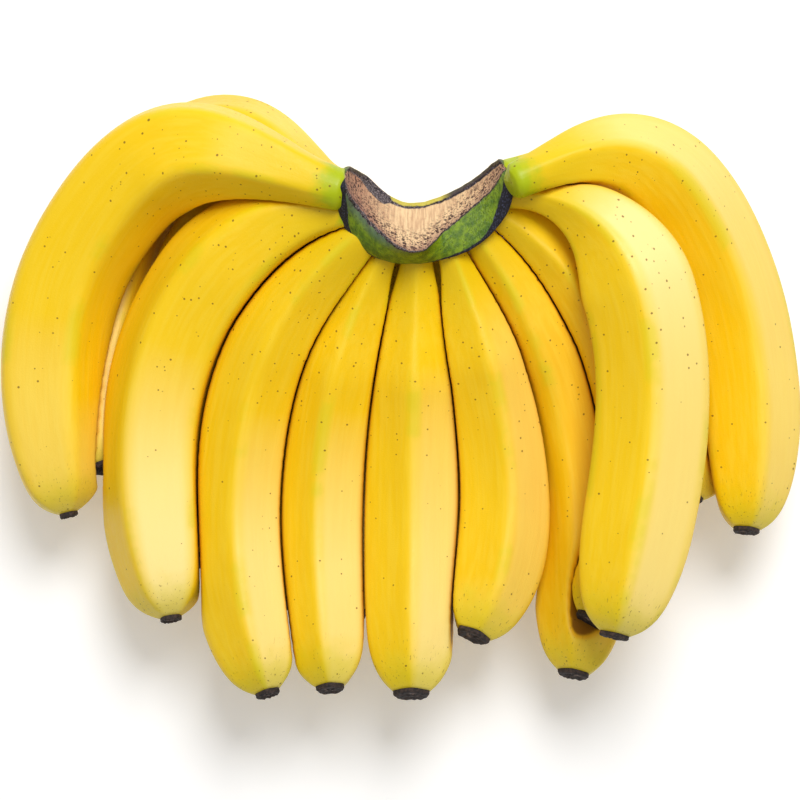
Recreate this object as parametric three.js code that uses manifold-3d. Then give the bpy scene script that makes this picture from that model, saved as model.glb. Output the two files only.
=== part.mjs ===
// A hand of bananas as it is cut from the stem: one crown, a front row of ten fingers and a back row
// of seven. It lies on its back on a table at z = 0, its cut face and the hollow side of the fingers up.
// Millimetres, +Z up, +Y towards the crown and -Y towards the tips.
import * as THREE from "three";
import { mergeVertices } from "three/addons/utils/BufferGeometryUtils.js";
import { NURBSCurve } from "three/addons/curves/NURBSCurve.js";
import Module from "manifold-3d";

const wasm = await Module();
wasm.setup();

const rad = THREE.MathUtils.degToRad;

// Finger sizes that all fingers share.
const FINGER_RADIUS = 18.6; // from the middle of a full finger to its flat sides
const NECK_SHARE = 0.3; // thickness of an inner finger's neck, as a share of the full finger
const OUTER_NECK_SHARE = 0.4; // the same for the outermost fingers of each row
const OUTERMOST = 55; // degrees round the stem from where a finger is one of the outermost
const FULL_FROM = 0.34; // where the finger is full, as a share of its length
const TAPER_FROM = 0.7; // where the finger starts to narrow towards its tip
const TAPER_REACH = 0.32; // length over which it would close to a point
const TAPER_BLUNTNESS = 2.6; // higher keeps it full for longer
const SIDES = 5; // flat sides of a finger's section
const SIDE_SHARPNESS = 7; // higher makes the ridges between the sides sharper
const PRESS_SHARPNESS = 14; // higher makes the dents where fingers press sharper
const SKIN_GAP = 1.2; // clear space between fingers that press on each other

// How finely a finger is cut into faces.
const RINGS = 18;
const POINTS_ROUND = 18;
const SPINE_STEPS = 40;
const PRESS_STEPS = 12;

// The crown is a part of a ring round the stem that the hand was cut from. The stem's axis leans forward.
const STEM_LEAN = 40; // degrees from upright, towards the tips
const STEM_RADIUS = 31; // the cut face is a part of this cylinder
const STEM_CENTRE = new THREE.Vector3(10, 92, 97);
const CROWN_FROM = -78; // degrees round the stem, from the middle
const CROWN_TO = 72;
// The crown at even steps from end to end: where its cut face starts and ends along the stem, its
// thickness from the cut face to where the fingers leave, and where along the stem it is thickest.
const CROWN_STATIONS = [
  [-2, 9.5, 3, 5],
  [-10, 8.5, 7.5, 5],
  [-14.2, 9.2, 12, 5.5],
  [-12, 13, 14.5, 8],
  [-9.8, 18, 14.5, 9],
  [-11.5, 17.5, 12.8, 9],
  [-14.6, 6.5, 11.2, 8.8],
  [-17, -0.8, 11, 7],
  [-18, -4.2, 10, 4.2],
  [-17, -4.7, 8, 2],
  [-12, -5, 4.5, -1],
];
const CROWN_STEPS = 26;
const ROOT_CLEARANCE = 0.7; // clear space between the crown and the fingers' necks
const FRONT_ROOT_RADIUS = 36; // how far from the stem's axis a row's fingers start, inside the crown
const BACK_ROOT_RADIUS = 35;

// Each finger leaves the crown at an angle round the stem and a distance along it, and runs along a smooth
// curve through its handles to its tip, the last of them. full: thickness against the shared size. neck:
// share of its length that stays thin. roll: turn of its flat sides in degrees. blunt: width of its tip, as
// a share of the full finger.
const FRONT_ROW = [
  {
    leaves: -68, along: 1.5, full: 1.1, neck: -0.02, roll: 10, blunt: 0.28,
    handles: [[-44, 87, 86], [-82, 107, 68], [-123.5, 78, 50], [-149.5, 19, 38], [-133, -47, 46]],
  },
  {
    leaves: -48, along: -1.5, full: 1.08, neck: -0.06, roll: 30, blunt: 0.34,
    handles: [[-59, 75, 62], [-109, 10, 42], [-98, -50, 44], [-91, -88, 54]],
  },
  {
    leaves: -34, along: 0.5, full: 1.0, neck: -0.04, roll: 55, blunt: 0.42,
    handles: [[-50, 42, 54], [-70, -27, 40], [-65, -76, 46], [-52, -117, 60]],
  },
  {
    leaves: -20, along: 1.5, full: 0.94, neck: 0.02, roll: 50, blunt: 0.42,
    handles: [[-22, 30, 52], [-36, -35, 38], [-30.5, -82, 46], [-27.5, -115, 60]],
  },
  {
    leaves: -5, along: 1.5, full: 1.02, neck: 0.02, roll: 54, blunt: 0.48,
    handles: [[5.5, 30, 52], [5, -30, 40], [4.5, -80, 48], [4.5, -117, 62]],
  },
  {
    leaves: 12, along: 1, full: 0.94, neck: 0.02, roll: 60, blunt: 0.48,
    handles: [[30, 32, 56], [44, -21, 44], [42, -64, 47], [28.5, -94, 60]],
  },
  {
    leaves: 27, along: -3.5, full: 1.0, neck: -0.04, roll: 40, blunt: 0.44,
    handles: [[56, 38, 50], [75, -19, 32], [76.5, -76, 34], [69.5, -111, 46]],
  },
  {
    leaves: 40, along: -6, full: 0.92, neck: -0.04, roll: 50, blunt: 0.42,
    handles: [[68, 60, 58], [100, -5, 42], [97, -50, 40], [80, -88, 56]],
  },
  {
    leaves: 54, along: -7, full: 1.08, neck: 0, roll: 50, blunt: 0.38,
    handles: [[82, 82, 84], [107, 14, 74], [93.5, -46, 74], [82.5, -92, 82]],
  },
  {
    leaves: 75, along: 1.5, full: 0.98, neck: 0, roll: 62, blunt: 0.34,
    handles: [[62, 92, 86], [89.5, 103, 66], [127, 71, 50], [145.5, 6, 38], [138, -53, 52]],
  },
];
const BACK_ROW = [
  {
    leaves: -56, along: -10, full: 1.0, neck: -0.02, roll: 20, blunt: 0.36,
    handles: [[-31, 79, 66], [-60, 116.5, 38], [-112, 92, 14], [-134, 22, 12], [-118, -28, 40]],
  },
  {
    leaves: -44, along: -10, full: 0.98, neck: 0.04, roll: 50, blunt: 0.4,
    handles: [[-63, 75, 28], [-96, 16, 12], [-95, -30, 18], [-82, -66, 38]],
  },
  {
    leaves: -28, along: -10, full: 0.96, neck: 0.02, roll: 40, blunt: 0.42,
    handles: [[-32, 46, 30], [-59, -4, 12], [-57, -50, 18], [-50, -84, 38]],
  },
  {
    leaves: -10, along: -10, full: 0.96, neck: 0.02, roll: 54, blunt: 0.42,
    handles: [[-14, 34, 24], [-24, -10, 12], [-23, -54, 18], [-20, -88, 38]],
  },
  {
    leaves: 9, along: -10, full: 0.96, neck: 0.02, roll: 64, blunt: 0.42,
    handles: [[14, 34, 24], [12, -10, 12], [12, -54, 18], [11, -86, 38]],
  },
  {
    leaves: 31, along: -12, full: 0.98, neck: 0.02, roll: 44, blunt: 0.42,
    handles: [[44, 45, 26], [48, -2, 12], [47, -46, 18], [43, -78, 38]],
  },
  {
    leaves: 62, along: -10, full: 1.0, neck: 0.02, roll: 60, blunt: 0.36,
    handles: [[82, 98, 46], [138, 66, 12], [130, 0, 16], [116, -40, 40]],
  },
];

const UP = new THREE.Vector3(0, 0, 1);
const STEM_TURN = new THREE.Matrix4().makeRotationX(rad(STEM_LEAN)).setPosition(STEM_CENTRE);

// The point at an angle round the stem, a radius from its axis and a distance along it.
function aboutStem(degrees, radius, along) {
  const angle = rad(degrees);
  const point = new THREE.Vector3(radius * Math.sin(angle), -radius * Math.cos(angle), along);
  return point.applyMatrix4(STEM_TURN);
}

// A finger's centre line, and points along it in even steps with the finger's radius at each.
function spineOf(finger, rootRadius) {
  const start = aboutStem(finger.leaves, rootRadius, finger.along);
  const points = [start.toArray(), ...finger.handles].map((point) => new THREE.Vector4(...point, 1));
  const spans = points.length - 3;
  const knots = [0, 0, 0, ...Array.from({ length: spans + 1 }, (_, i) => i / spans), 1, 1, 1];
  const curve = new NURBSCurve(3, knots, points);
  const middles = curve.getSpacedPoints(SPINE_STEPS);
  const radii = middles.map((_, i) => radiusOf(finger, i / SPINE_STEPS));
  return { finger, curve, middles, radii };
}

// A finger's radius at a share of its length.
function radiusOf(finger, share) {
  const before = THREE.MathUtils.clamp((FULL_FROM - share) / (FULL_FROM - finger.neck), 0, 1);
  const thin = Math.abs(finger.leaves) > OUTERMOST ? OUTER_NECK_SHARE : NECK_SHARE;
  const neck = 1 - (1 - thin) * before * before * (3 - 2 * before);
  const past = Math.max(0, share - TAPER_FROM) / TAPER_REACH;
  const taper = Math.max(finger.blunt, Math.sqrt(Math.max(0, 1 - past ** TAPER_BLUNTNESS)));
  return FINGER_RADIUS * finger.full * neck * taper;
}

// How far outside a finger's round body a point is, negative inside it.
function outside(spine, point) {
  let least = Infinity;
  for (let i = 0; i <= SPINE_STEPS; i += 1) {
    least = Math.min(least, spine.middles[i].distanceTo(point) - spine.radii[i]);
  }
  return least;
}

// How far the skin reaches from a middle point before it would press into a neighbour's share of the space.
function reach(spine, others, middle, direction, wanted) {
  let near = 0;
  let far = wanted;
  for (let step = 0; step < PRESS_STEPS; step += 1) {
    const tried = (near + far) / 2;
    const point = middle.clone().addScaledVector(direction, tried);
    const own = outside(spine, point) + SKIN_GAP;
    if (others.some((other) => outside(other, point) < own)) far = tried;
    else near = tried;
  }
  return near;
}

// The distance from the middle of a five-sided section to its rounded side, in a direction.
function sectionRadius(radius, angle, roll) {
  let sum = 0;
  for (let side = 0; side < SIDES; side += 1) {
    const off = Math.cos(angle - roll - (side * 2 * Math.PI) / SIDES);
    if (off > 0) sum += off ** SIDE_SHARPNESS;
  }
  return radius * sum ** (-1 / SIDE_SHARPNESS);
}

// One finger's closed skin: rings of points along its centre line, and an end point at each end.
function fingerGeometry(spine, others) {
  const { finger, curve } = spine;
  const positions = [];
  const faces = [];
  const length = curve.getLength();
  for (let ring = 0; ring <= RINGS; ring += 1) {
    const share = ringShare(ring / RINGS);
    const middle = curve.getPointAt(share);
    const along = curve.getTangentAt(share);
    const across = new THREE.Vector3().crossVectors(along, UP).normalize();
    const over = new THREE.Vector3().crossVectors(across, along);
    const radius = radiusOf(finger, share);
    const close = others.filter((other) => outside(other, middle) < 2 * radius);
    for (let k = 0; k < POINTS_ROUND; k += 1) {
      const angle = (k / POINTS_ROUND) * 2 * Math.PI;
      const direction = across.clone().multiplyScalar(Math.cos(angle));
      direction.addScaledVector(over, Math.sin(angle));
      const free = sectionRadius(radius, angle, rad(finger.roll));
      const pressed = reach(spine, close, middle, direction, 2 * radius);
      const out = (free ** -PRESS_SHARPNESS + pressed ** -PRESS_SHARPNESS) ** (-1 / PRESS_SHARPNESS);
      const point = middle.clone().addScaledVector(direction, out);
      positions.push(point.x, point.y, Math.max(point.z, 0));
    }
  }
  const start = curve.getPointAt(0);
  const end = curve.getPointAt(1).addScaledVector(curve.getTangentAt(1), 0.006 * length);
  positions.push(start.x, start.y, start.z, end.x, end.y, end.z);
  const first = (RINGS + 1) * POINTS_ROUND;
  for (let k = 0; k < POINTS_ROUND; k += 1) {
    const next = (k + 1) % POINTS_ROUND;
    for (let ring = 0; ring < RINGS; ring += 1) {
      const a = ring * POINTS_ROUND;
      const b = a + POINTS_ROUND;
      faces.push(a + k, b + k, b + next, a + k, b + next, a + next);
    }
    const last = RINGS * POINTS_ROUND;
    faces.push(first, k, next, first + 1, last + next, last + k);
  }
  return closed(positions, faces);
}

// Rings stand closer together at the neck and at the tip, where the finger's thickness changes.
function ringShare(even) {
  return even - 0.05 * Math.sin(2 * Math.PI * even);
}

function closed(positions, faces) {
  const geometry = new THREE.BufferGeometry();
  geometry.setAttribute("position", new THREE.Float32BufferAttribute(positions, 3));
  geometry.setIndex(faces);
  return geometry;
}

const crownSizes = new THREE.CubicInterpolant(
  CROWN_STATIONS.map((_, i) => CROWN_FROM + (i / (CROWN_STATIONS.length - 1)) * (CROWN_TO - CROWN_FROM)),
  CROWN_STATIONS.flat(),
  CROWN_STATIONS[0].length,
);

// The crown's section in a plane through the stem's axis, as distances from the axis and along it.
function crownSection(degrees, grow) {
  const [low, high, thick, widest] = crownSizes.evaluate(degrees);
  const inner = STEM_RADIUS - grow;
  const outer = STEM_RADIUS + thick + grow;
  return [
    [inner, high + grow],
    [inner + 0.3 * thick, high + 0.4 * (widest - high) + 1.2 + grow],
    [inner + 0.66 * thick, high + 0.75 * (widest - high) + 1.6 + grow],
    [outer - 0.08 * thick, widest + 0.6 + grow],
    [outer, widest - 3],
    [outer - 0.05 * thick, 0.5 * (widest + low) - 2],
    [outer - 0.3 * thick, low - 0.5 - grow],
    [inner + 0.25 * thick, low - 2.5 - grow],
    [inner, low - grow],
  ];
}

function crownGeometry(grow) {
  const positions = [];
  const faces = [];
  const count = crownSection(0, 0).length;
  const from = CROWN_FROM - 2 * grow;
  const to = CROWN_TO + 2 * grow;
  for (let step = 0; step <= CROWN_STEPS; step += 1) {
    const degrees = from + (step / CROWN_STEPS) * (to - from);
    for (const [radius, along] of crownSection(degrees, grow)) {
      const point = aboutStem(degrees, radius, along);
      positions.push(point.x, point.y, point.z);
    }
  }
  for (let step = 0; step < CROWN_STEPS; step += 1) {
    for (let k = 0; k < count; k += 1) {
      const a = step * count;
      const b = a + count;
      const next = (k + 1) % count;
      faces.push(a + k, b + next, b + k, a + k, a + next, b + next);
    }
  }
  const last = CROWN_STEPS * count;
  for (let k = 1; k < count - 1; k += 1) {
    faces.push(0, k + 1, k, last, last + k, last + k + 1);
  }
  return closed(positions, faces);
}

function solidOf(geometry) {
  const merged = mergeVertices(geometry, 1e-4);
  return new wasm.Manifold(new wasm.Mesh({
    numProp: 3,
    vertProperties: merged.attributes.position.array,
    triVerts: new Uint32Array(merged.index.array),
  }));
}

function geometryOf(solid) {
  const mesh = solid.getMesh();
  return closed(Array.from(mesh.vertProperties), Array.from(mesh.triVerts));
}

// The largest of the loose bodies that a cut leaves.
function largest(solid) {
  return solid.decompose().reduce((best, body) => (body.volume() > best.volume() ? body : best));
}

const skin = new THREE.MeshStandardMaterial({ color: 0xf2c81e, roughness: 0.45, metalness: 0 });
const green = new THREE.MeshStandardMaterial({ color: 0x5c8a1f, roughness: 0.5, metalness: 0 });

const hand = new THREE.Group();
hand.name = "banana_hand";

const crown = new THREE.Mesh(crownGeometry(0), green);
crown.name = "crown";
hand.add(crown);

const spines = [
  ...FRONT_ROW.map((finger) => spineOf(finger, FRONT_ROOT_RADIUS)),
  ...BACK_ROW.map((finger) => spineOf(finger, BACK_ROOT_RADIUS)),
];
const crownCutter = solidOf(crownGeometry(ROOT_CLEARANCE));
spines.forEach((spine, i) => {
  const others = spines.filter((other) => other !== spine);
  const whole = solidOf(fingerGeometry(spine, others));
  const finger = new THREE.Mesh(geometryOf(largest(whole.subtract(crownCutter))), skin);
  const front = i < FRONT_ROW.length;
  finger.name = front ? `finger_front_${i + 1}` : `finger_back_${i + 1 - FRONT_ROW.length}`;
  hand.add(finger);
});

// The origin is under the middle of the hand, on the table.
const box = new THREE.Box3().setFromObject(hand);
const centre = box.getCenter(new THREE.Vector3());
hand.position.set(-centre.x, -centre.y, -box.min.z);

export default hand;
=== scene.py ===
"""A hand of bananas, cut from its stem and laid on its back on a white table, seen from straight above.

One crown carries a front row of ten fingers and, under it, a back row of seven. Each finger is a mesh of
its own, and so is the dried end of the flower at its tip. The crown and the fingers replace the solids of
the frame. Sizes of the fruit are in millimetres and turn into metres where a mesh is made.
"""

import math
from collections import namedtuple

import bpy
import numpy as np
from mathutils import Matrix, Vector


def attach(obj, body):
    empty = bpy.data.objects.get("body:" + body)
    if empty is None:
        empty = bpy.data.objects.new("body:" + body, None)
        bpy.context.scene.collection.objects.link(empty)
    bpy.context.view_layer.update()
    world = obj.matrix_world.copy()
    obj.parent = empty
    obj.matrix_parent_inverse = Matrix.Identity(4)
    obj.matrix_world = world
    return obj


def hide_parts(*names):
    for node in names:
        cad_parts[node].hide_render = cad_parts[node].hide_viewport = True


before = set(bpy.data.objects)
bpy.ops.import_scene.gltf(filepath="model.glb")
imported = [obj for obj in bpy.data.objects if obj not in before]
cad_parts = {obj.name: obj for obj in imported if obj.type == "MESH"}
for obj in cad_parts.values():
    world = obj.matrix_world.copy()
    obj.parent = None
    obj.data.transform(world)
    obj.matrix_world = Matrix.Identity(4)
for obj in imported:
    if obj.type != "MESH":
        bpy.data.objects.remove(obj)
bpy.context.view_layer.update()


# The crown
# A woody cushion that holds all the fingers, a part of a ring round the stem. A knife cut it free: the cut
# face is bare pith that dries brown, its rims shrink and blacken, and the flank below keeps its green skin.
MM = 0.001
HAND_SHIFT = np.array([0.85, -1.499, 0.0])  # puts the middle of the hand over the origin
STEM_LEAN = math.radians(40)  # from upright, towards the tips
STEM_RADIUS = 31.0  # the cut face is a part of this cylinder
STEM_CENTRE = np.array([10.0, 92.0, 97.0]) + HAND_SHIFT
CROWN_FROM = -78.0  # degrees round the stem, from the middle
CROWN_TO = 72.0
# The crown at even steps from end to end: where along the stem the lower and the upper rim of its cut face
# lie, its thickness from the cut face to where the fingers leave, and where along the stem it is thickest.
CROWN_STATIONS = np.array([
    (-2.0, 9.5, 3.0, 5.0),
    (-10.0, 8.5, 7.5, 5.0),
    (-14.2, 9.2, 12.0, 5.5),
    (-12.0, 13.0, 14.5, 8.0),
    (-9.8, 18.0, 14.5, 9.0),
    (-11.5, 17.5, 12.8, 9.0),
    (-14.6, 6.5, 11.2, 8.8),
    (-17.0, -0.8, 11.0, 7.0),
    (-18.0, -4.2, 10.0, 4.2),
    (-17.0, -4.7, 8.0, 2.0),
    (-12.0, -5.0, 4.5, -1.0),
])
CROWN_RINGS = 260
CUT_POINTS = 44  # across the cut face
SKIN_POINTS = 84  # round the rest of the section
BRIM_POINT = CUT_POINTS + SKIN_POINTS // 3 + 2  # where the skin turns under, at the fingers
END_ROUNDING = 3.0  # degrees over which each end of the crown closes
END_WIDTH = 0.06  # what is left of the section at each end
HOLLOW = 0.1  # how fast the cut face sinks away from its rims
HOLLOW_REACH = 6.0
FIBRE_RELIEF = 0.16
FIBRES_FROM = 0.4  # clear of the rims by this much
FRAY = 0.7  # how far the rims of the cut waver
LOW_FRAY = 0.6 * FRAY
FRAY_LAG = 20  # rings by which the lower rim's wavering lags behind the upper rim's
RIM_REACH = 2.2
LOW_RIM_REACH = 2.0
SKIN_RELIEF = 0.22


def about_stem(degrees, radius, along):
    """Points at an angle round the leaning stem, a radius from its axis and a distance along it."""
    angle = np.radians(degrees)
    x, y = radius * np.sin(angle), -radius * np.cos(angle)
    lean, upright = math.sin(STEM_LEAN), math.cos(STEM_LEAN)
    turned = np.broadcast_arrays(x, y * upright - along * lean, y * lean + along * upright)
    return np.stack(turned, axis=-1) + STEM_CENTRE


def ripple(places, wavelength, seed, waves=9):
    """A smooth wavering, mostly from -1 to 1, over points of any number of dimensions."""
    draw = np.random.default_rng(seed)
    places = np.asarray(places, float)
    total = np.zeros(places.shape[:-1])
    for _ in range(waves):
        heading = draw.normal(size=places.shape[-1])
        heading /= np.linalg.norm(heading)
        pace = 2 * math.pi / (wavelength * draw.uniform(0.6, 1.7))
        total += np.sin(places @ heading * pace + draw.uniform(0, 2 * math.pi))
    return total / (0.72 * waves)


def smooth_line(corners, count):
    """Points along a curve that passes through the corners."""
    padded = np.concatenate([[2 * corners[0] - corners[1]], corners, [2 * corners[-1] - corners[-2]]])
    steps = np.linspace(0, len(corners) - 1.000001, count)
    start = steps.astype(int)
    t = (steps - start)[:, None]
    a, b, c, d = (padded[start + i] for i in range(4))
    return b + 0.5 * t * (c - a + t * (2 * a - 5 * b + 4 * c - d + t * (3 * (b - c) + d - a)))


def crown_section(station):
    """The outline at a station, as radius and distance along the stem: its cut face, then its skin."""
    low, high, thick, widest = station
    inner, outer = STEM_RADIUS, STEM_RADIUS + thick
    cut = np.linspace([inner, low], [inner, high], CUT_POINTS)
    corners = np.array([
        [inner, high],
        [inner + 0.3 * thick, high + 0.4 * (widest - high) + 1.2],
        [inner + 0.66 * thick, high + 0.75 * (widest - high) + 1.6],
        [outer - 0.08 * thick, widest + 0.6],
        [outer, widest - 3.0],
        [outer - 0.05 * thick, 0.5 * (widest + low) - 2.0],
        [outer - 0.3 * thick, low - 0.5],
        [inner + 0.25 * thick, low - 2.5],
        [inner - 1.0, low - 2.0],
        [inner, low],
    ])
    return np.concatenate([cut, smooth_line(corners, SKIN_POINTS + 2)[1:-1]])


def closed_skin(name, rings, start, end, layers):
    """A closed mesh from rings of points and a point at each end. Layers are numbers kept at its points."""
    count, around = rings.shape[:2]
    points = np.concatenate([rings.reshape(-1, 3), [start, end]]) * MM
    lower = np.arange(around)
    upper = np.roll(lower, -1)
    faces = []
    for ring in range(count - 1):
        a, b = ring * around, (ring + 1) * around
        faces += np.stack([a + lower, b + lower, b + upper, a + upper], axis=1).tolist()
    first, last = count * around, (count - 1) * around
    faces += np.stack([np.full(around, first), lower, upper], axis=1).tolist()
    faces += np.stack([np.full(around, first + 1), last + upper, last + lower], axis=1).tolist()
    mesh = bpy.data.meshes.new(name)
    mesh.from_pydata(points.tolist(), [], faces)
    for layer, values in layers.items():
        flat = np.asarray(values, np.float32).reshape(count * around, -1)
        ends = [flat[:around].mean(0, keepdims=True), flat[-around:].mean(0, keepdims=True)]
        flat = np.concatenate([flat, *ends])
        kind, field = ("FLOAT_VECTOR", "vector") if flat.shape[1] == 3 else ("FLOAT", "value")
        mesh.attributes.new(layer, kind, "POINT").data.foreach_set(field, flat.ravel())
    mesh.shade_smooth()
    piece = bpy.data.objects.new(name, mesh)
    bpy.context.scene.collection.objects.link(piece)
    return piece


def crown_shape():
    """The crown's skin, with what its material needs to know at each point."""
    turns = np.linspace(CROWN_FROM, CROWN_TO, CROWN_RINGS)
    on_cut = np.arange(CUT_POINTS + SKIN_POINTS) < CUT_POINTS
    rings, from_edge, from_low, from_brim, pith = [], [], [], [], []
    for degrees, station in zip(turns, smooth_line(CROWN_STATIONS, CROWN_RINGS)):
        section = crown_section(station)
        lengths = np.linalg.norm(np.diff(section, axis=0, append=section[:1]), axis=1)
        reached = np.concatenate([[0], np.cumsum(lengths)[:-1]])
        from_edge.append(reached - reached[CUT_POINTS - 1])  # below zero on the cut face
        from_low.append(np.where(on_cut, reached, lengths.sum() - reached))
        from_brim.append(reached - reached[BRIM_POINT])
        close = min(degrees - CROWN_FROM, CROWN_TO - degrees) / END_ROUNDING
        rounding = math.sqrt(max(0.0, 1 - max(0.0, 1 - close) ** 2))
        middle = section.mean(0)
        section = middle + (section - middle) * (END_WIDTH + (1 - END_WIDTH) * rounding)
        rings.append(np.column_stack([np.full(len(section), degrees), section]))
        pith.append(np.column_stack([np.radians(degrees) * section[:, 0], section[:, 1], section[:, 0]]))
    rings, pith = np.array(rings), np.array(pith)
    from_edge, from_low = np.array(from_edge), np.array(from_low)
    cut = np.broadcast_to(on_cut.astype(float), from_edge.shape)

    # The cut face is a little hollow and ribbed with fibres, and its rims waver.
    depth = np.minimum(-from_edge, from_low).clip(0, HOLLOW_REACH) * cut
    fibres = ripple(pith * [1, 0.12, 0.12], 1.5, seed=3) + 0.6 * ripple(pith * [1, 0.3, 0.3], 0.9, seed=4)
    rings[..., 1] += cut * (HOLLOW * depth + FIBRE_RELIEF * fibres * (depth > FIBRES_FROM))
    waver = ripple(pith[..., :1], 9.0, seed=5) + 0.6 * ripple(pith[..., :1], 3.0, seed=6)
    near_rim = np.exp(-((from_edge / RIM_REACH) ** 2))
    near_low = np.exp(-((from_low / LOW_RIM_REACH) ** 2))
    rings[..., 2] += FRAY * waver * near_rim
    rings[..., 2] += LOW_FRAY * np.roll(waver, FRAY_LAG, axis=0) * near_low
    rings[..., 1] += (1 - cut) * SKIN_RELIEF * ripple(pith, 6.0, seed=7) * (1 - near_rim)
    shape = about_stem(rings[..., 0], rings[..., 1], rings[..., 2])
    layers = {
        "cut": cut,
        "from_edge": from_edge,
        "from_low": from_low,
        "from_brim": np.array(from_brim),
        "turn": (rings[..., 0] - CROWN_FROM) / (CROWN_TO - CROWN_FROM),
        "grown": pith,
    }
    return closed_skin("crown_cushion", shape, shape[0].mean(0), shape[-1].mean(0), layers)


def paint(red, green, blue):
    """A colour as it looks on a screen, from 0 to 255, as the linear values that a shader takes."""
    shares = [value / 255 for value in (red, green, blue)]
    return (*[s / 12.92 if s <= 0.04045 else ((s + 0.055) / 1.055) ** 2.4 for s in shares], 1.0)


FRESH_PITH = paint(240, 206, 158)
WORN_PITH = paint(158, 108, 88)
PITH_FIBRE = paint(178, 128, 98)
PITH_BY_RIM = paint(140, 92, 84)
PITH_PORE = paint(58, 26, 26)
CROWN_GREEN = paint(124, 152, 14)
CROWN_DARK_GREEN = paint(74, 108, 10)
CROWN_VEIN = paint(56, 82, 12)
CROWN_MARK = paint(46, 52, 14)
CROWN_BLOOM = paint(104, 122, 116)
LOWER_LIP = paint(206, 190, 70)
DRY_LOWER_LIP = paint(66, 50, 48)
RIM_BLACK = paint(30, 22, 28)
RIM_CRUMB = paint(104, 96, 106)
RIM_FIBRE = paint(186, 168, 164)
# Painted shadow in the crease round the crown where the fingers leave.
BRIM_SHADOW_BLACK = paint(22, 20, 30)
BRIM_SHADOW_CRUMB = paint(66, 68, 92)


def feed(tree, socket, value):
    """Links an output of another node to a socket, or sets the socket to a plain value."""
    if isinstance(value, bpy.types.NodeSocket):
        tree.links.new(value, socket)
    else:
        socket.default_value = value


def place(tree, kind, inputs, **settings):
    """Adds a node to a tree, with its inputs fed and its settings made."""
    node = tree.nodes.new(kind)
    for name, value in settings.items():
        setattr(node, name, value)
    for socket, value in inputs.items():
        feed(tree, node.inputs[socket], value)
    return node


def math_of(tree, operation, first, second=0.0, clamp=False):
    inputs = {0: first, 1: second}
    return place(tree, "ShaderNodeMath", inputs, operation=operation, use_clamp=clamp).outputs[0]


def times(tree, first, second):
    return math_of(tree, "MULTIPLY", first, second)


def plus(tree, first, second, clamp=False):
    return math_of(tree, "ADD", first, second, clamp)


def layer_of(tree, name, output="Fac"):
    """Numbers that a mesh keeps at its points."""
    return place(tree, "ShaderNodeAttribute", {}, attribute_name=name).outputs[output]


def fall(tree, value, start, end, low=0.0, high=1.0):
    """Runs smoothly from low at start to high at end, and stays level outside them."""
    inputs = {"Value": value, "From Min": start, "From Max": end, "To Min": low, "To Max": high}
    return place(tree, "ShaderNodeMapRange", inputs, interpolation_type="SMOOTHSTEP").outputs[0]


def noise(tree, vector, scale, detail=3.0, roughness=0.55):
    inputs = {"Vector": vector, "Scale": scale, "Detail": detail, "Roughness": roughness}
    return place(tree, "ShaderNodeTexNoise", inputs).outputs[0]


def blend(tree, share, under, over):
    """Lays one colour over another by a share."""
    node = place(tree, "ShaderNodeMix", {"Factor": share}, data_type="RGBA")
    feed(tree, node.inputs[6], under)
    feed(tree, node.inputs[7], over)
    return node.outputs[2]


def bump(tree, height, distance, strength):
    inputs = {"Height": height, "Distance": distance, "Strength": strength}
    return place(tree, "ShaderNodeBump", inputs).outputs[0]


def new_material(name):
    material = bpy.data.materials.new(name)
    material.use_nodes = True
    return material, material.node_tree, material.node_tree.nodes["Principled BSDF"]


def new_group(name, inputs, output):
    """An empty node group with a vector input named Place, number inputs and one number output."""
    group = bpy.data.node_groups.new(name, "ShaderNodeTree")
    group.interface.new_socket("Place", in_out="INPUT", socket_type="NodeSocketVector")
    for socket, value in inputs.items():
        made = group.interface.new_socket(socket, in_out="INPUT", socket_type="NodeSocketFloat")
        made.default_value = value
    group.interface.new_socket(output, in_out="OUTPUT", socket_type="NodeSocketFloat")
    given = group.nodes.new("NodeGroupInput").outputs
    return group, given, group.nodes.new("NodeGroupOutput").inputs[output]


def specks_group():
    """Round specks: cells at a fineness, each with a speck by chance, from half to 1.2 of the given size."""
    group, given, mask = new_group("Specks", {"Cells": 100.0, "Chance": 0.3, "Size": 0.2}, "Mask")
    cells = place(group, "ShaderNodeTexVoronoi", {"Vector": given["Place"], "Scale": given["Cells"]})
    drawn = place(group, "ShaderNodeSeparateColor", {0: cells.outputs["Color"]}).outputs
    radius = times(group, given["Size"], plus(group, times(group, drawn[0], 0.7), 0.5))
    inside = math_of(group, "SUBTRACT", radius, cells.outputs["Distance"])
    soft = math_of(group, "DIVIDE", inside, times(group, radius, 0.45), clamp=True)
    here = math_of(group, "LESS_THAN", drawn[1], given["Chance"])
    group.links.new(times(group, soft, here), mask)
    return group


def streaks_group():
    """Fine streaks that run along the third direction of the place."""
    group, given, value = new_group("Streaks", {"Fineness": 400.0, "Stretch": 0.06}, "Value")
    squeeze = place(group, "ShaderNodeCombineXYZ", {0: 1.0, 1: 1.0, 2: given["Stretch"]}).outputs[0]
    inputs = {0: given["Place"], 1: squeeze}
    drawn = place(group, "ShaderNodeVectorMath", inputs, operation="MULTIPLY").outputs[0]
    group.links.new(noise(group, drawn, given["Fineness"], detail=4.0), value)
    return group


def effect(tree, group, **inputs):
    """Places a shared effect in a material with that material's own values."""
    return place(tree, "ShaderNodeGroup", inputs, node_tree=group).outputs[0]


specks = specks_group()
streaks = streaks_group()


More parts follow.
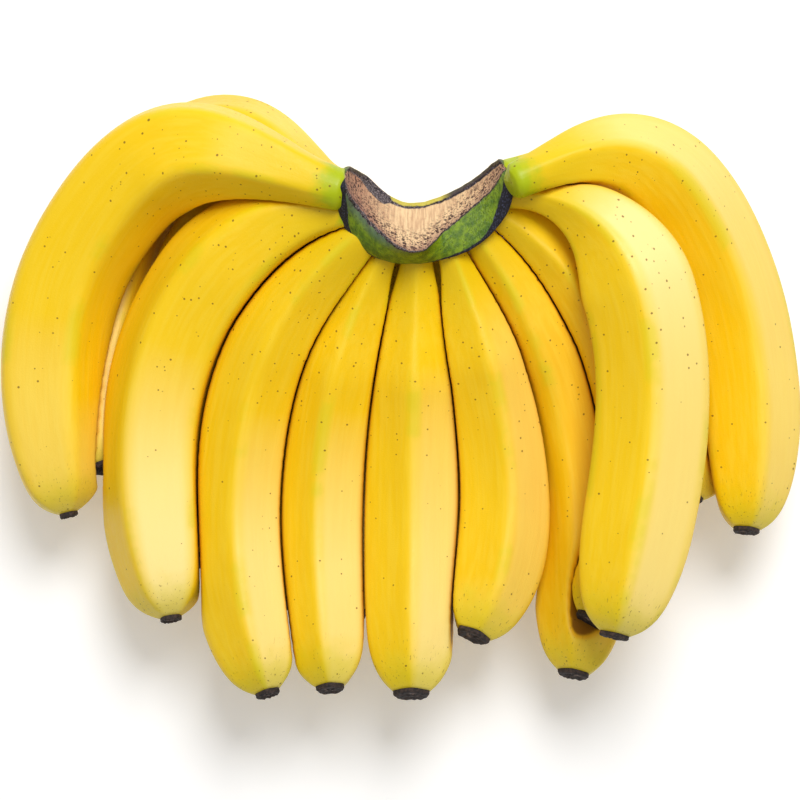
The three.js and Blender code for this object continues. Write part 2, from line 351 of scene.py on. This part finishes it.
def crown_material():
    """Green skin with darker veins, dry tan pith with fibres and sap spots, black rims between them, and a
    painted black shadow where the fingers leave.
    """
    material, tree, shader = new_material("crown skin and cut pith")
    grown = layer_of(tree, "grown", "Vector")
    cut = layer_of(tree, "cut")
    from_edge = layer_of(tree, "from_edge")
    from_low = layer_of(tree, "from_low")
    from_brim = layer_of(tree, "from_brim")
    turn = layer_of(tree, "turn")  # 0 at the crown's left end and 1 at its right
    waver = noise(tree, grown, 0.5, detail=5.0)

    # Pith: cream in the middle, brown at the ends, with fibres across it, and pores by its upper rim.
    inputs = {"Vector": grown, "Angle": math.pi / 2}
    across = place(tree, "ShaderNodeVectorRotate", inputs, rotation_type="X_AXIS").outputs[0]
    fibres = effect(tree, streaks, Place=across, Fineness=1.6, Stretch=0.08)
    left_end = fall(tree, turn, 0.42, 0.12)
    ends = math_of(tree, "MAXIMUM", left_end, fall(tree, turn, 0.66, 1.0, 0.0, 0.7))
    worn = plus(tree, times(tree, ends, 0.8), fall(tree, waver, 0.5, 0.8, 0.0, 0.3), clamp=True)
    pith = blend(tree, worn, FRESH_PITH, WORN_PITH)
    pith = blend(tree, fall(tree, fibres, 0.35, 0.7, 0.0, 0.6), pith, PITH_FIBRE)
    by_rim = times(tree, fall(tree, from_edge, -9.0, 0.0), fall(tree, turn, 0.8, 0.5, 0.3, 0.7))
    pith = blend(tree, by_rim, pith, PITH_BY_RIM)
    porous = math_of(tree, "MAXIMUM", fall(tree, from_edge, -19.0, -5.0), left_end)
    for cells, chance in ((0.62, 0.7), (1.3, 0.75)):
        pores = effect(tree, specks, Place=grown, Cells=cells, Chance=chance, Size=0.6)
        pith = blend(tree, times(tree, pores, porous), pith, PITH_PORE)

    # Skin: green with darker clouds and veins, greyer by the left rim, yellow under the middle of the cut.
    clouds = noise(tree, grown, 0.3, detail=5.0)
    skin = blend(tree, fall(tree, clouds, 0.35, 0.65), CROWN_DARK_GREEN, CROWN_GREEN)
    veins = fall(tree, noise(tree, grown, 0.9, detail=6.0), 0.52, 0.62, 0.0, 0.5)
    skin = blend(tree, veins, skin, CROWN_VEIN)
    middle = times(tree, fall(tree, turn, 0.3, 0.36), fall(tree, turn, 0.66, 0.58))
    lip = blend(tree, middle, DRY_LOWER_LIP, LOWER_LIP)
    skin = blend(tree, fall(tree, from_low, 6.0, 0.5), skin, lip)
    bloom = times(tree, fall(tree, turn, 0.48, 0.3), fall(tree, from_edge, 6.0, 1.0))
    skin = blend(tree, times(tree, bloom, 0.6), skin, CROWN_BLOOM)
    marks = effect(tree, specks, Place=grown, Cells=0.5, Chance=0.3, Size=0.24)
    skin = blend(tree, times(tree, marks, 0.8), skin, CROWN_MARK)

    # Rims: a black line where the skin has shrunk back from the cut, wider and torn on the left.
    torn = fall(tree, turn, 0.56, 0.42, 0.0, 1.5)
    width = plus(tree, waver, times(tree, torn, waver))
    off_edge = math_of(tree, "ABSOLUTE", from_edge)
    rim = fall(tree, math_of(tree, "SUBTRACT", off_edge, width), 0.3, -0.4)
    ledge = times(tree, fall(tree, turn, 0.14, 0.22), fall(tree, turn, 0.36, 0.3))
    low_width = plus(tree, times(tree, ledge, 3.6), times(tree, waver, 1.3))
    low_rim = fall(tree, math_of(tree, "SUBTRACT", from_low, low_width), 0.3, -0.4)
    rims = math_of(tree, "MAXIMUM", rim, low_rim)
    crumbs = fall(tree, noise(tree, grown, 1.6, detail=6.0), 0.5, 0.66)
    black = blend(tree, crumbs, RIM_BLACK, RIM_CRUMB)
    frayed = times(tree, fall(tree, noise(tree, grown, 2.2, detail=4.0), 0.5, 0.6), torn)
    black = blend(tree, math_of(tree, "MULTIPLY", frayed, 0.35, clamp=True), black, RIM_FIBRE)
    colour = blend(tree, rims, blend(tree, cut, skin, pith), black)

    # A black band is painted round the crown where the fingers leave, as the shadow in the crease under its
    # brim, wide at its two ends.
    ends_width = plus(tree, fall(tree, turn, 0.28, 0.12, 0.0, 3.6), fall(tree, turn, 0.74, 0.9, 0.0, 4.0))
    edge_width = plus(tree, plus(tree, ends_width, 1.3), times(tree, waver, 1.2))
    edge = fall(tree, plus(tree, from_brim, edge_width), -0.4, 0.2)
    edge = times(tree, edge, fall(tree, from_brim, 6.0, 3.0))
    edge = times(tree, edge, fall(tree, cut, 0.6, 0.2))
    colour = blend(tree, edge, colour, blend(tree, crumbs, BRIM_SHADOW_BLACK, BRIM_SHADOW_CRUMB))
    tree.links.new(colour, shader.inputs["Base Color"])
    dry = math_of(tree, "MAXIMUM", cut, math_of(tree, "MAXIMUM", rims, edge))
    tree.links.new(fall(tree, dry, 0.0, 1.0, 0.42, 0.86), shader.inputs["Roughness"])
    height = plus(tree, fibres, times(tree, noise(tree, grown, 1.2, detail=6.0), 0.8))
    tree.links.new(bump(tree, height, distance=0.0006, strength=0.8), shader.inputs["Normal"])
    return material


crown = crown_shape()
crown.data.materials.append(crown_material())
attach(crown, "root")
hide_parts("crown")


# The fingers
# Each fruit is a five-sided tapered body on a bent centre line, its peel smooth and satin. It grows thin
# out of the crown, and the fingers press flat sides into each other where they lie together.
FINGER_RADIUS = 18.6  # from the middle of a full finger to its flat sides
OUTERMOST = 55  # fingers that leave further round than this are the outermost of their row
NECK_SHARE = 0.3  # thickness of a neck, as a share of the full finger's
OUTER_NECK_SHARE = 0.4
FULL_FROM = 0.34  # where the finger is full, as a share of its length
TAPER_FROM = 0.7  # where it starts to narrow towards its tip
TAPER_REACH = 0.32  # length over which it would close to a point
TAPER_BLUNTNESS = 2.6  # higher keeps it full for longer
SIDES = 5
SIDE_SHARPNESS = 11  # higher makes the ridges between the sides sharper
RIDGE_TRIM = 0.98  # keeps the sharper ridges within the size of the solids
ROUND_NECK = 28.0  # distance from the crown over which the neck turns from round to five-sided
FLATTENING = 0.7  # lower makes the neck's sides flat sooner
PRESS_SHARPNESS = 18  # higher makes the dents where fingers press sharper
PRESS_STEPS = 11
PRESSED_FROM = 0.86  # share of the way to a neighbour at which the peel counts as pressed
PRESSED_RUN = 0.28
SKIN_GAP = 0.35  # clear space between fingers that press on each other
LUMP_HEIGHT = 0.012  # share of the radius by which the peel swells and sinks
LUMP_LENGTH = 26.0
FINE_LUMP_HEIGHT = 0.004
FINE_LUMP_LENGTH = 8.0
RINGS = 128
RING_CROWDING = 0.08  # draws the rings together towards both ends
ROOT_RINGS = 5
POINTS_ROUND = 92
SPINE_STEPS = 40
SPINE_POINTS = 900
ROOT_SINK = 3.0  # how far a neck runs on into the crown
ROOT_NARROWING = 0.25
FRONT_ROOT_RADIUS = 36.0  # how far from the stem's axis a row's fingers start, inside the crown
BACK_ROOT_RADIUS = 35.0
CUT_CLEARANCE = 0.8  # how far inside the crown's cut face a finger's root stays
PEEL_END = 1.8  # how far short of the centre line's end the peel stops
RIM_SHARE = 0.88  # radius of the peel's open end, as a share of the tip's
RIM_ROUNDING = 3.2  # distance over which the peel rounds in to the dried flower
PATTERN_STEP = 400.0  # keeps the markings of one finger from those of the next
SHEEN_SIDE = np.array([0.45, 0.6, 1.0])  # the direction of the light that the painted highlight stands for: sides that face it are painted paler
PALE_FROM = 0.7
PALE_FULL = 0.94
SIDE_BLEND = 34  # higher makes the change of colour at a ridge sharper
GREEN_RUN = 13.0  # how far the green of the crown runs down a finger
OUTER_GREEN_RUN = 19.0

# A finger's angle round the stem and distance along it where it leaves the crown, thickness, the share of
# its length that stays thin, the roll of its flat sides, the width of its tip, the depth of its yellow,
# partly its own tone and partly painted shade that is deeper on fingers lying in shade and keeps the painted
# highlight off them, and the handles that pull on its centre line, the last of them the tip.
Finger = namedtuple("Finger", "leaves along full thin roll tip depth handles")
FRONT_ROW = [
    Finger(-68, 1.5, 1.1, -0.02, 10, 0.2, 0.05,
           [(-44, 87, 86), (-82, 107, 68), (-123.5, 78, 50), (-149.5, 19, 38), (-133, -47, 46)]),
    Finger(-48, -1.5, 1.08, -0.12, 30, 0.24, 0.05,
           [(-60, 77, 62), (-109, 10, 42), (-98, -50, 44), (-91, -88, 54)]),
    Finger(-34, 0.5, 1.0, -0.14, 55, 0.3, 0.25,
           [(-50, 42, 54), (-70, -27, 40), (-65, -76, 46), (-52, -117, 60)]),
    Finger(-20, 1.5, 0.94, 0.02, 50, 0.36, 0.3,
           [(-22, 30, 52), (-36, -35, 38), (-30.5, -82, 46), (-27.5, -115, 60)]),
    Finger(-5, 1.5, 1.02, 0.02, 54, 0.42, 0.25,
           [(5.5, 30, 52), (5, -30, 40), (4.5, -80, 48), (4.5, -117, 62)]),
    Finger(12, 1, 0.94, 0.02, 60, 0.44, 0.4,
           [(30, 32, 56), (44, -21, 44), (42, -64, 47), (28.5, -94, 60)]),
    Finger(27, -3.5, 1.0, -0.04, 40, 0.38, 0.85,
           [(56, 38, 50), (75, -19, 32), (76.5, -76, 34), (69.5, -111, 46)]),
    Finger(40, -6, 0.92, -0.04, 50, 0.42, 0.95,
           [(68, 60, 58), (100, -5, 42), (95, -50, 40), (75.5, -88, 56)]),
    Finger(54, -7, 1.08, 0.04, 50, 0.32, 0.0,
           [(82, 82, 84), (107, 14, 74), (93.5, -46, 74), (82.5, -92, 82)]),
    Finger(75, 1.5, 0.98, 0.0, 62, 0.33, 0.4,
           [(62, 92, 86), (89.5, 103, 66), (127, 71, 50), (145.5, 6, 38), (138, -53, 52)]),
]
BACK_ROW = [
    Finger(-56, -10, 1.0, -0.02, 20, 0.36, 0.4,
           [(-31, 79, 66), (-60, 116.5, 38), (-112, 92, 14), (-134, 22, 12), (-118, -28, 40)]),
    Finger(-44, -10, 0.98, -0.08, 50, 0.4, 1.0,
           [(-73, 88, 31), (-96, 16, 12), (-95, -30, 18), (-82, -66, 38)]),
    Finger(-28, -10, 0.96, -0.06, 40, 0.42, 1.0,
           [(-43, 57, 28), (-59, -4, 12), (-57, -50, 18), (-50, -84, 38)]),
    Finger(-10, -10, 0.96, 0.02, 54, 0.42, 0.4,
           [(-14, 34, 24), (-24, -10, 12), (-23, -54, 18), (-20, -88, 38)]),
    Finger(9, -10, 0.96, 0.02, 64, 0.42, 0.6,
           [(14, 34, 24), (12, -10, 12), (12, -54, 18), (11, -86, 38)]),
    Finger(31, -12, 0.98, 0.02, 44, 0.42, 0.5,
           [(44, 45, 26), (48, -2, 12), (47, -46, 18), (43, -78, 38)]),
    Finger(62, -10, 1.0, 0.02, 60, 0.36, 0.6,
           [(82, 98, 46), (138, 66, 12), (130, 0, 16), (116, -40, 40)]),
]


def bent_line(handles):
    """Points of a clamped cubic curve that the handles pull on, from the first handle to the last."""
    spans = len(handles) - 3
    knots = np.concatenate([[0] * 3, np.linspace(0, 1, spans + 1), [1] * 3])
    t = np.linspace(0, 1, SPINE_POINTS) * (1 - 1e-9)
    weights = [((knots[i] <= t) & (t < knots[i + 1])).astype(float) for i in range(len(knots) - 1)]
    for degree in (1, 2, 3):
        for i in range(len(weights) - degree):
            rise, drop = knots[i + degree] - knots[i], knots[i + degree + 1] - knots[i + 1]
            up = weights[i] * (t - knots[i]) / rise if rise > 0 else 0
            down = weights[i + 1] * (knots[i + degree + 1] - t) / drop if drop > 0 else 0
            weights[i] = up + down
    return sum(weights[i][:, None] * handles[i] for i in range(len(handles)))


def radius_at(finger, shares):
    """The finger's radius at shares of its length."""
    neck_share = OUTER_NECK_SHARE if abs(finger.leaves) > OUTERMOST else NECK_SHARE
    before = np.clip((FULL_FROM - shares) / (FULL_FROM - finger.thin), 0, 1)
    neck = 1 - (1 - neck_share) * before**2 * (3 - 2 * before)
    past = np.maximum(0, shares - TAPER_FROM) / TAPER_REACH
    taper = np.maximum(finger.tip, np.sqrt(np.maximum(0, 1 - past**TAPER_BLUNTNESS)))
    return FINGER_RADIUS * finger.full * neck * taper


class CentreLine:
    """A finger's centre line, with points along it at even steps and the finger's radius at each."""

    def __init__(self, name, finger, root_radius):
        self.name = name
        self.finger = finger
        start = about_stem(finger.leaves, root_radius, finger.along)
        self.dense = bent_line(np.vstack([start, np.array(finger.handles, float) + HAND_SHIFT]))
        lengths = np.linalg.norm(np.diff(self.dense, axis=0), axis=1)
        self.reached = np.concatenate([[0], np.cumsum(lengths)])
        self.headings = np.gradient(self.dense, self.reached, axis=0)
        self.length = self.reached[-1]
        shares = np.linspace(0, 1, SPINE_STEPS + 1)
        self.middles = self.at(shares)[0]
        self.radii = radius_at(finger, shares)

    def at(self, shares):
        """Points at shares of the length, and the direction of the line there."""
        places = np.asarray(shares) * self.length
        point, heading = (
            np.stack([np.interp(places, self.reached, values[:, i]) for i in range(3)], axis=-1)
            for values in (self.dense, self.headings)
        )
        return point, heading / np.linalg.norm(heading, axis=-1, keepdims=True)

    def outside(self, points):
        """How far outside the finger's round body points are, negative inside it."""
        least = np.full(points.shape[:-1], np.inf, np.float32)
        for middle, radius in zip(self.middles, self.radii):
            offset = points - middle.astype(np.float32)
            away = np.sqrt(np.einsum("...i,...i->...", offset, offset))
            np.minimum(least, away - radius, out=least)
        return least


def round_about(headings, angles):
    """Directions square to the centre line, at angles from its right side over its top."""
    across = np.cross(headings, [0, 0, 1.0])
    across /= np.linalg.norm(across, axis=-1, keepdims=True)
    over = np.cross(across, headings)
    return across[..., None, :] * np.cos(angles)[:, None] + over[..., None, :] * np.sin(angles)[:, None]


def side_angles(roll):
    return math.radians(roll) + np.arange(SIDES) * 2 * math.pi / SIDES


def five_sided(roll, angles):
    """How far the flat sides and the ridges between them are from the middle, where a side's middle is 1."""
    off = np.cos(angles - side_angles(roll)[:, None])
    return (np.maximum(off, 0) ** SIDE_SHARPNESS).sum(0) ** (-1 / SIDE_SHARPNESS)


def reach(line, others, middles, directions, wanted):
    """How far the skin goes from the centre line before it presses into a neighbour's share of space."""
    near = np.zeros(directions.shape[:-1], np.float32)
    far = np.broadcast_to(wanted.astype(np.float32), near.shape).copy()
    for _ in range(PRESS_STEPS):
        tried = (near + far) / 2
        points = (middles[:, None] + directions * tried[..., None]).astype(np.float32)
        own = line.outside(points) + SKIN_GAP
        blocked = np.zeros(near.shape, bool)
        for other in others:
            blocked |= other.outside(points) < own
        far = np.where(blocked, tried, far)
        near = np.where(blocked, near, tried)
    return near


def behind_the_cut(skin):
    """Moves points that would come out of the crown's cut face, which is round the stem's axis."""
    axis = about_stem(0, 0, 1) - STEM_CENTRE
    offset = skin - STEM_CENTRE
    from_axis = offset - (offset @ axis)[..., None] * axis
    away = np.linalg.norm(from_axis, axis=-1, keepdims=True)
    return skin + from_axis / away * np.maximum(0, STEM_RADIUS + CUT_CLEARANCE - away)


def painted_sheen(finger, headings, angles):
    """How much painted cream highlight the peel takes: by the flat side, the more it faces up from the table
    towards the light, even across a side.
    """
    facing = round_about(headings, side_angles(finger.roll)) @ SHEEN_SIDE / np.linalg.norm(SHEEN_SIDE)
    sheen_sides = ((facing - PALE_FROM) / (PALE_FULL - PALE_FROM)).clip(0, 1)
    shares = np.exp(SIDE_BLEND * (np.cos(angles[:, None] - side_angles(finger.roll)) - 1))
    shares /= shares.sum(1, keepdims=True)
    return sheen_sides @ shares.T * (1 - finger.depth)


def finger_shape(line, others, seed):
    """One finger's skin, from its root inside the crown to the rim where the dried flower sits."""
    finger = line.finger
    even = np.linspace(0, 1, RINGS)
    reached = (even - RING_CROWDING * np.sin(2 * math.pi * even)) * (line.length - PEEL_END)
    reached = np.concatenate([np.linspace(-ROOT_SINK, 0, ROOT_RINGS, endpoint=False), reached])
    sunk = np.minimum(reached, 0)[:, None]
    shares = reached.clip(0) / line.length
    middles, headings = line.at(shares)
    middles += headings * sunk
    angles = np.linspace(0, 2 * math.pi, POINTS_ROUND, endpoint=False)
    directions = round_about(headings, angles)
    radii = radius_at(finger, shares)[:, None]
    radii *= 1 - ROOT_NARROWING * (sunk / ROOT_SINK) ** 2
    closing = 1 - RIM_SHARE * FINGER_RADIUS * finger.full * finger.tip / radii[-1, 0]
    radii *= 1 - closing * np.exp((reached - reached[-1]) / RIM_ROUNDING)[:, None]

    # Five flat sides with rounded ridges between them, rounder at the neck, and a little uneven.
    ridged = five_sided(finger.roll, angles)
    ridge = np.broadcast_to((ridged - ridged.min()) / np.ptp(ridged), directions.shape[:2])
    ridged = 1 + (ridged - 1) * np.clip(reached / ROUND_NECK, 0, 1)[:, None] ** FLATTENING
    run = np.broadcast_to(reached[:, None], ridge.shape)
    grown = np.stack([radii * np.cos(angles), radii * np.sin(angles), run], axis=-1)
    grown += [0, 0, PATTERN_STEP * seed]
    lumps = LUMP_HEIGHT * ripple(grown * [1, 1, 0.5], LUMP_LENGTH, seed=seed)
    lumps += FINE_LUMP_HEIGHT * ripple(grown * [1, 1, 0.35], FINE_LUMP_LENGTH, seed=seed + 50)
    free = radii * ridged * RIDGE_TRIM * (1 + lumps)

    # Where a neighbour is in the way the skin presses flat on it, and it lies flat on the table too.
    close = [other for other in others if (other.outside(middles) < 2 * radii[:, 0]).any()]
    pressed = reach(line, close, middles, directions, 2 * radii)
    out = (free**-PRESS_SHARPNESS + pressed**-PRESS_SHARPNESS) ** (-1 / PRESS_SHARPNESS)
    skin = middles[:, None] + directions * out[..., None]
    skin[..., 2] = np.maximum(skin[..., 2], 0)
    skin = behind_the_cut(skin)
    green_run = OUTER_GREEN_RUN if abs(finger.leaves) > OUTERMOST else GREEN_RUN
    layers = {
        "grown": grown,
        "pale": painted_sheen(finger, headings, angles),
        "from_crown": run,
        "to_tip": line.length - PEEL_END - run,
        "ridge": ridge,
        "pressed": np.clip((free / pressed - PRESSED_FROM) / PRESSED_RUN, 0, 1),
        "depth": np.full(ridge.shape, finger.depth),
        "green_run": np.full(ridge.shape, green_run),
    }
    return closed_skin(f"peel_{line.name}", skin, skin[0].mean(0), middles[-1], layers)


PEEL_YELLOW = paint(246, 202, 8)
PEEL_GOLD = paint(240, 190, 0)
PEEL_GRAIN = paint(250, 216, 60)
# Painted highlight: cream laid on the finger sides that face up towards the light.
PEEL_SHEEN_CREAM = paint(252, 229, 150)
NECK_YELLOW = paint(226, 192, 4)
NECK_GREEN = paint(150, 182, 0)
TIP_GREEN = paint(216, 200, 16)
RIDGE_GREEN = paint(214, 202, 20)
# Painted shade between pressed fingers, and a painted shadow in their creases.
PRESSED_SHADE_GOLD = paint(230, 165, 4)
CREASE_SHADOW_BROWN = paint(96, 40, 8)
SPECK_BROWN = paint(104, 66, 8)
SCRATCH_BROWN = paint(104, 70, 14)
PEEL_SPECULAR = 0.36


def peel_material():
    """Satin yellow peel: green at crown and tip, a painted cream highlight on its upward sides, painted
    golden shade and dark painted creases where fingers press, and small brown specks.
    """
    material, tree, shader = new_material("banana peel")
    grown = layer_of(tree, "grown", "Vector")
    from_crown = layer_of(tree, "from_crown")
    to_tip = layer_of(tree, "to_tip")
    ridge = layer_of(tree, "ridge")
    pressed = layer_of(tree, "pressed")

    # Yellow of the finger's own depth, partly painted shade, with clouds and a fine grain, and a painted
    # cream highlight on the sides that face up towards the light.
    clouds = noise(tree, grown, 0.03, detail=4.0)
    grain = effect(tree, streaks, Place=grown, Fineness=0.5, Stretch=0.07)
    golden = plus(tree, layer_of(tree, "depth"), fall(tree, clouds, 0.3, 0.7, -0.2, 0.2), clamp=True)
    colour = blend(tree, golden, PEEL_YELLOW, PEEL_GOLD)
    colour = blend(tree, fall(tree, grain, 0.35, 0.7, 0.0, 0.3), colour, PEEL_GRAIN)
    pale = times(tree, layer_of(tree, "pale"), fall(tree, ridge, 1.0, 0.4, 0.6, 1.0))
    pale = times(tree, pale, fall(tree, from_crown, 14.0, 45.0))
    colour = blend(tree, times(tree, pale, 0.95), colour, PEEL_SHEEN_CREAM)

    # Green stays longest at the neck, at the tip and along a ridge here and there.
    waver = times(tree, noise(tree, grown, 0.12), 16.0)
    down_neck = plus(tree, from_crown, waver)
    neck = fall(tree, down_neck, 58.0, 18.0)
    colour = blend(tree, times(tree, neck, 0.75), colour, NECK_YELLOW)
    root = fall(tree, down_neck, layer_of(tree, "green_run"), 8.0)
    colour = blend(tree, times(tree, root, 0.8), colour, NECK_GREEN)
    tip = fall(tree, plus(tree, to_tip, waver), 27.0, 7.0)
    colour = blend(tree, times(tree, tip, 0.6), colour, TIP_GREEN)
    green_ridge = times(tree, fall(tree, ridge, 0.55, 1.0), fall(tree, clouds, 0.5, 0.62))
    colour = blend(tree, times(tree, green_ridge, 0.5), colour, RIDGE_GREEN)

    # Peel that presses on a neighbour is painted deeper gold as shade between the fingers, and dark as a
    # painted shadow in the crease.
    colour = blend(tree, fall(tree, pressed, 0.25, 0.8, 0.0, 0.75), colour, PRESSED_SHADE_GOLD)
    colour = blend(tree, fall(tree, pressed, 0.7, 1.0, 0.0, 0.8), colour, CREASE_SHADOW_BROWN)

    # Small brown specks, most of them on the first half, and short dry scratches near the tip.
    chance = fall(tree, from_crown, 130.0, 30.0, 0.1, 0.5)
    dots = effect(tree, specks, Place=grown, Cells=0.4, Chance=chance, Size=0.2)
    colour = blend(tree, times(tree, dots, 0.8), colour, SPECK_BROWN)
    scratches = effect(tree, streaks, Place=grown, Fineness=1.4, Stretch=0.12)
    dry = times(tree, fall(tree, scratches, 0.62, 0.7), fall(tree, to_tip, 26.0, 2.0))
    colour = blend(tree, times(tree, dry, 0.7), colour, SCRATCH_BROWN)
    tree.links.new(colour, shader.inputs["Base Color"])
    shader.inputs["Specular IOR Level"].default_value = PEEL_SPECULAR
    rough = fall(tree, noise(tree, grown, 0.6, detail=4.0), 0.3, 0.7, 0.4, 0.5)
    tree.links.new(plus(tree, rough, times(tree, dots, 0.25)), shader.inputs["Roughness"])
    pores = noise(tree, grown, 1.6, detail=5.0)
    height = plus(tree, times(tree, pores, 0.5), times(tree, grain, 0.9))
    tree.links.new(bump(tree, height, distance=0.00022, strength=0.6), shader.inputs["Normal"])
    return material


lines = []
for row, fingers, root_radius in (
    ("front", FRONT_ROW, FRONT_ROOT_RADIUS),
    ("back", BACK_ROW, BACK_ROOT_RADIUS),
):
    for place_in_row, finger in enumerate(fingers, start=1):
        lines.append(CentreLine(f"{row}_{place_in_row}", finger, root_radius))
peel = peel_material()
for seed, line in enumerate(lines, start=1):
    others = [other for other in lines if other is not line]
    piece = finger_shape(line, others, seed)
    piece.data.materials.append(peel)
    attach(piece, "root")
    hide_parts(f"finger_{line.name}")


# The dried flower ends
# The last of each flower stays on its finger's tip as a short black stub. It is corky, with a furrowed edge
# and a hollow end, and it grows out of the peel without a joint.
STUB_PROFILE = [  # distance beyond the peel's end, and radius as a share of the tip's
    (-1.2, 0.72), (-0.3, 0.82), (0.2, 0.86), (0.7, 0.85), (1.2, 0.86), (1.6, 0.83),
    (1.9, 0.76), (1.9, 0.66), (1.6, 0.54), (1.3, 0.42), (1.2, 0.28), (1.4, 0.14),
]
STUB_POINTS = 64
FURROWS_FROM = 0.0  # distance beyond the peel's end
FURROW_DEPTH = 0.04  # as a share of the radius
FURROW_SPACING = 0.55
CRUMBS_FROM = 1.0
CRUMB_HEIGHT = 0.35
CRUMB_SPACING = 0.3
STUB_ROUNDING = 0.6  # lower makes the stub rounder than the finger
STUB_PATTERN_STEP = 50
FIRST_STUB_SEED = 100
CORK_BLACK = paint(22, 15, 14)
CORK_GREY = paint(74, 58, 52)
CORK_SCAR = paint(150, 128, 116)


def stub_shape(line, seed):
    """One dried end, from inside the peel to the hollow in its own end."""
    finger = line.finger
    middle, heading = line.at(1 - PEEL_END / line.length)
    angles = np.linspace(0, 2 * math.pi, STUB_POINTS, endpoint=False)
    around = np.stack([np.cos(angles), np.sin(angles)], axis=-1)
    directions = round_about(heading, angles)
    tip_radius = FINGER_RADIUS * finger.full * finger.tip * RIDGE_TRIM
    outline = tip_radius * five_sided(finger.roll, angles) ** STUB_ROUNDING
    rings, grown, hollow = [], [], []
    for beyond, width in STUB_PROFILE:
        unit = np.column_stack([around, np.full(STUB_POINTS, beyond * 0.2)])
        furrows = ripple(unit, FURROW_SPACING, seed=seed) * (beyond > FURROWS_FROM)
        crumbs = ripple(unit, CRUMB_SPACING, seed=seed + 7) * (beyond > CRUMBS_FROM)
        radius = outline * width * (1 + FURROW_DEPTH * furrows)
        ahead = beyond + CRUMB_HEIGHT * crumbs
        rings.append(middle + heading * ahead[:, None] + directions * radius[:, None])
        grown.append(np.column_stack([around * radius[:, None], ahead + STUB_PATTERN_STEP * seed]))
        hollow.append(np.full(STUB_POINTS, 1 - width))
    rings = np.array(rings)
    end = rings[-1].mean(0) + heading * np.random.default_rng(seed).uniform(0.0, 0.2)
    layers = {"grown": np.array(grown), "hollow": np.array(hollow)}
    return closed_skin(f"flower_end_{line.name}", rings, middle - heading, end, layers)


def stub_material():
    """Black-brown cork, greyer on its high places, with a paler scar in the middle of some ends."""
    material, tree, shader = new_material("dried flower end")
    grown = layer_of(tree, "grown", "Vector")
    hollow = layer_of(tree, "hollow")
    cork = noise(tree, grown, 0.8, detail=6.0, roughness=0.65)
    colour = blend(tree, fall(tree, cork, 0.38, 0.66), CORK_BLACK, CORK_GREY)
    scar = times(tree, fall(tree, hollow, 0.5, 0.75), fall(tree, noise(tree, grown, 0.25), 0.5, 0.6))
    colour = blend(tree, times(tree, scar, 0.7), colour, CORK_SCAR)
    tree.links.new(colour, shader.inputs["Base Color"])
    tree.links.new(fall(tree, cork, 0.3, 0.7, 0.6, 0.95), shader.inputs["Roughness"])
    tree.links.new(bump(tree, cork, distance=0.0008, strength=0.9), shader.inputs["Normal"])
    return material


cork = stub_material()
for seed, line in enumerate(lines, start=FIRST_STUB_SEED):
    stub = stub_shape(line, seed)
    stub.data.materials.append(cork)
    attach(stub, "root")


# The table, the light and the camera
# A plain white table that glows faintly, painted light that lifts the shade on it, a large soft light behind
# the crown and a fainter one above it, and a camera that looks straight down.
TABLE_SIZE = 6.0
TABLE_WHITE = paint(250, 250, 250)
TABLE_SHADE = paint(246, 246, 246)
TABLE_GLOW = 0.16
LIGHT_AIM = Vector((0.0, 0.0, 0.05))
SKY_STRENGTH = 0.36
CAMERA_HEIGHT = 1.0
VIEW_LEVEL = 0.05  # the height above the table at which the view is VIEW_WIDTH wide
VIEW_WIDTH = 0.32
SENSOR = 36.0


def table_material():
    material, tree, shader = new_material("white table")
    texture = place(tree, "ShaderNodeTexCoord", {}).outputs["Object"]
    mottle = noise(tree, texture, 40.0, detail=4.0)
    tree.links.new(blend(tree, mottle, TABLE_SHADE, TABLE_WHITE), shader.inputs["Base Color"])
    shader.inputs["Roughness"].default_value = 0.85
    # The table glows faintly: painted light that lifts the shade on it and under the fruit.
    shader.inputs["Emission Color"].default_value = (1, 1, 1, 1)
    shader.inputs["Emission Strength"].default_value = TABLE_GLOW
    shader.inputs["Specular IOR Level"].default_value = 0.1
    return material


def soft_light(name, location, size, watts):
    light = bpy.data.lights.new(name, "AREA")
    light.shape = "DISK"
    light.size = size
    light.energy = watts
    lamp = bpy.data.objects.new(name, light)
    lamp.location = location
    lamp.rotation_euler = (lamp.location - LIGHT_AIM).to_track_quat("Z", "Y").to_euler()
    lamp.visible_camera = False
    bpy.context.scene.collection.objects.link(lamp)


half = TABLE_SIZE / 2
corners = [(-half, -half, 0), (half, -half, 0), (half, half, 0), (-half, half, 0)]
table_mesh = bpy.data.meshes.new("table")
table_mesh.from_pydata(corners, [], [(0, 1, 2, 3)])
table = bpy.data.objects.new("table", table_mesh)
bpy.context.scene.collection.objects.link(table)
table.data.materials.append(table_material())

soft_light("window", location=(0.2, 0.75, 1.35), size=0.7, watts=18)
soft_light("ceiling", location=(0.1, 0.2, 1.8), size=1.2, watts=4)
world = bpy.data.worlds.new("studio")
bpy.context.scene.world = world
world.use_nodes = True
sky = world.node_tree.nodes["Background"].inputs
sky["Color"].default_value = (1, 1, 1, 1)
sky["Strength"].default_value = SKY_STRENGTH

camera_data = bpy.data.cameras.new("camera")
camera_data.sensor_width = SENSOR
camera_data.lens = SENSOR * (CAMERA_HEIGHT - VIEW_LEVEL) / VIEW_WIDTH
camera = bpy.data.objects.new("camera", camera_data)
camera.location = (HAND_SHIFT[0] * MM, HAND_SHIFT[1] * MM, CAMERA_HEIGHT)
bpy.context.scene.collection.objects.link(camera)
bpy.context.scene.camera = camera
bpy.context.scene.view_settings.view_transform = "Standard"
